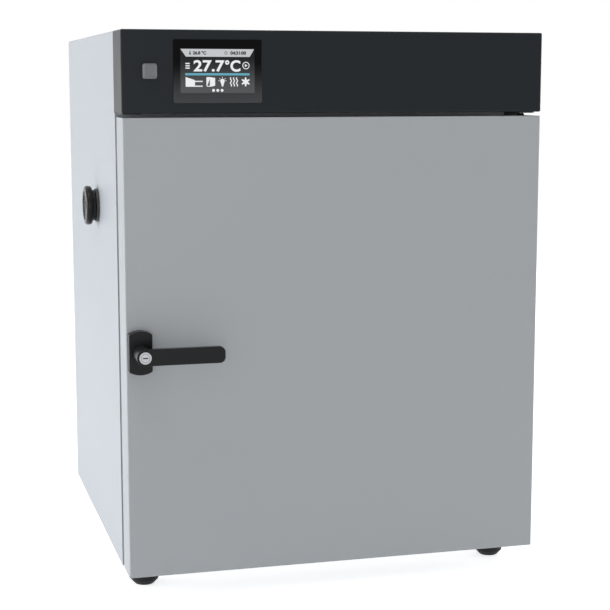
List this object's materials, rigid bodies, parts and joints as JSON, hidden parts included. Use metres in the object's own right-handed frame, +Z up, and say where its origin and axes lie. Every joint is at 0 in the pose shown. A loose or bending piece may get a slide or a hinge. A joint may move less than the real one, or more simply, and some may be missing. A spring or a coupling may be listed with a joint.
{
  "type": "laboratory incubator",
  "caption": "Bench-top cooled laboratory incubator with a solid hinged door, lever handle with key lock, touch display, side access port, slotted shelves and fan-stirred chamber.",
  "frame": {"origin": "on the floor, midway across the cabinet's width and midway from the door's front face to the cabinet's rear face", "axes": "+X to the right as seen by a person facing the door, +Y to the rear, +Z up"},
  "size_m": [0.671, 0.71, 0.85],
  "materials": {
    "casing_paint": "fine matt powder coat",
    "door_paint": "fine matt powder coat",
    "panel_plastic": "fine moulded texture",
    "display_glass": "polished cover glass",
    "button_plastic": "fine moulded texture",
    "black_plastic": "satin moulded",
    "white_plastic": "satin moulded",
    "black_rubber": "matt",
    "grey_rubber": "matt",
    "stainless": "brushed",
    "zinc_steel": "zinc plated",
    "bright_metal": "satin bright",
    "aluminium": "extruded",
    "circuit_board": "solder mask",
    "mineral_wool": "fibrous",
    "foam": "rigid foam",
    "ceramic": "ceramic",
    "lamp_cover": "frosted",
    "brass": "machined"
  },
  "bodies": {
    "cabinet": {"casing": "casing_paint", "front_frame": "casing_paint", "base_pan": "zinc_steel", "rear_bulkhead": "zinc_steel", "service_deck": "zinc_steel", "rear_cover": "casing_paint", "insulation": "mineral_wool", "chamber_liner": "stainless", "rubber_feet": "black_rubber", "control_housing": "panel_plastic", "display_glass": "display_glass", "lcd_module": "black_plastic", "control_board": "circuit_board", "button_switch": "black_plastic", "power_supply": "zinc_steel", "mains_inlet": "black_plastic", "hinge_plate_upper": "black_plastic", "hinge_plate_lower": "black_plastic", "hinge_blanking_plate": "black_plastic", "hinge_pins": "zinc_steel", "latch_keeper": "stainless", "port_tube": "white_plastic", "port_flange": "black_plastic", "air_baffle": "stainless", "circulation_heater": "stainless", "fan_motor": "zinc_steel", "shaft_bush": "brass", "cold_sink": "aluminium", "hot_sink": "aluminium", "conduction_block": "aluminium", "thermoelectric_modules": "ceramic", "cooling_fan_frame": "black_plastic", "rack_uprights": "stainless", "shelf_runners": "stainless", "lamp_housing": "white_plastic", "lamp_lens": "lamp_cover", "temperature_probe": "stainless"},
    "door": {"door_skin": "door_paint", "door_liner": "stainless", "door_insulation": "foam", "door_gasket": "grey_rubber", "hinge_bushes": "black_plastic", "handle_escutcheon": "black_plastic", "spindle_sleeve": "brass"},
    "handle": {"handle_lever": "black_plastic", "handle_spindle": "zinc_steel", "latch_cam": "zinc_steel", "cam_screw": "zinc_steel"},
    "lock": {"lock_barrel": "bright_metal"},
    "power_button": {"power_button": "button_plastic"},
    "port_plug": {"port_plug": "black_rubber"},
    "circulation_fan": {"fan_shaft": "zinc_steel", "fan_impeller": "aluminium"},
    "cooling_fan": {"cooling_fan_rotor": "black_plastic"},
    "shelf_lower": {"shelf_lower": "stainless"},
    "shelf_upper": {"shelf_upper": "stainless"}
  },
  "joints": [
    {"name": "door_hinge", "type": "hinge", "parent": "cabinet", "child": "door", "pos_m": [0.302, -0.3, 0.381], "axis": [0, 0, 1], "range_deg": [0, 170]},
    {"name": "handle_turn", "type": "hinge", "parent": "door", "child": "handle", "pos_m": [-0.305, -0.341, 0.3825], "axis": [0, 1, 0], "range_deg": [0, 90]},
    {"name": "lock_turn", "type": "hinge", "parent": "handle", "child": "lock", "pos_m": [-0.305, -0.3825, 0.3825], "axis": [0, 1, 0], "range_deg": [0, 90]},
    {"name": "power_button_press", "type": "slide", "parent": "cabinet", "child": "power_button", "axis": [0, 1, 0], "range_m": [0, 0.003], "stiffness_N_per_m": 300, "springref_m": -0.002},
    {"name": "port_plug_pull", "type": "slide", "parent": "cabinet", "child": "port_plug", "axis": [-1, 0, 0], "range_m": [0, 0.08]},
    {"name": "circulation_fan_spin", "type": "hinge", "parent": "cabinet", "child": "circulation_fan", "pos_m": [0, 0.19, 0.473], "axis": [0, 1, 0], "continuous": true},
    {"name": "cooling_fan_spin", "type": "hinge", "parent": "cabinet", "child": "cooling_fan", "pos_m": [0, 0.311, 0.248], "axis": [0, 1, 0], "continuous": true},
    {"name": "shelf_lower_slide", "type": "slide", "parent": "cabinet", "child": "shelf_lower", "axis": [0, -1, 0], "range_m": [0, 0.025]},
    {"name": "shelf_upper_slide", "type": "slide", "parent": "cabinet", "child": "shelf_upper", "axis": [0, -1, 0], "range_m": [0, 0.025]}
  ]
}
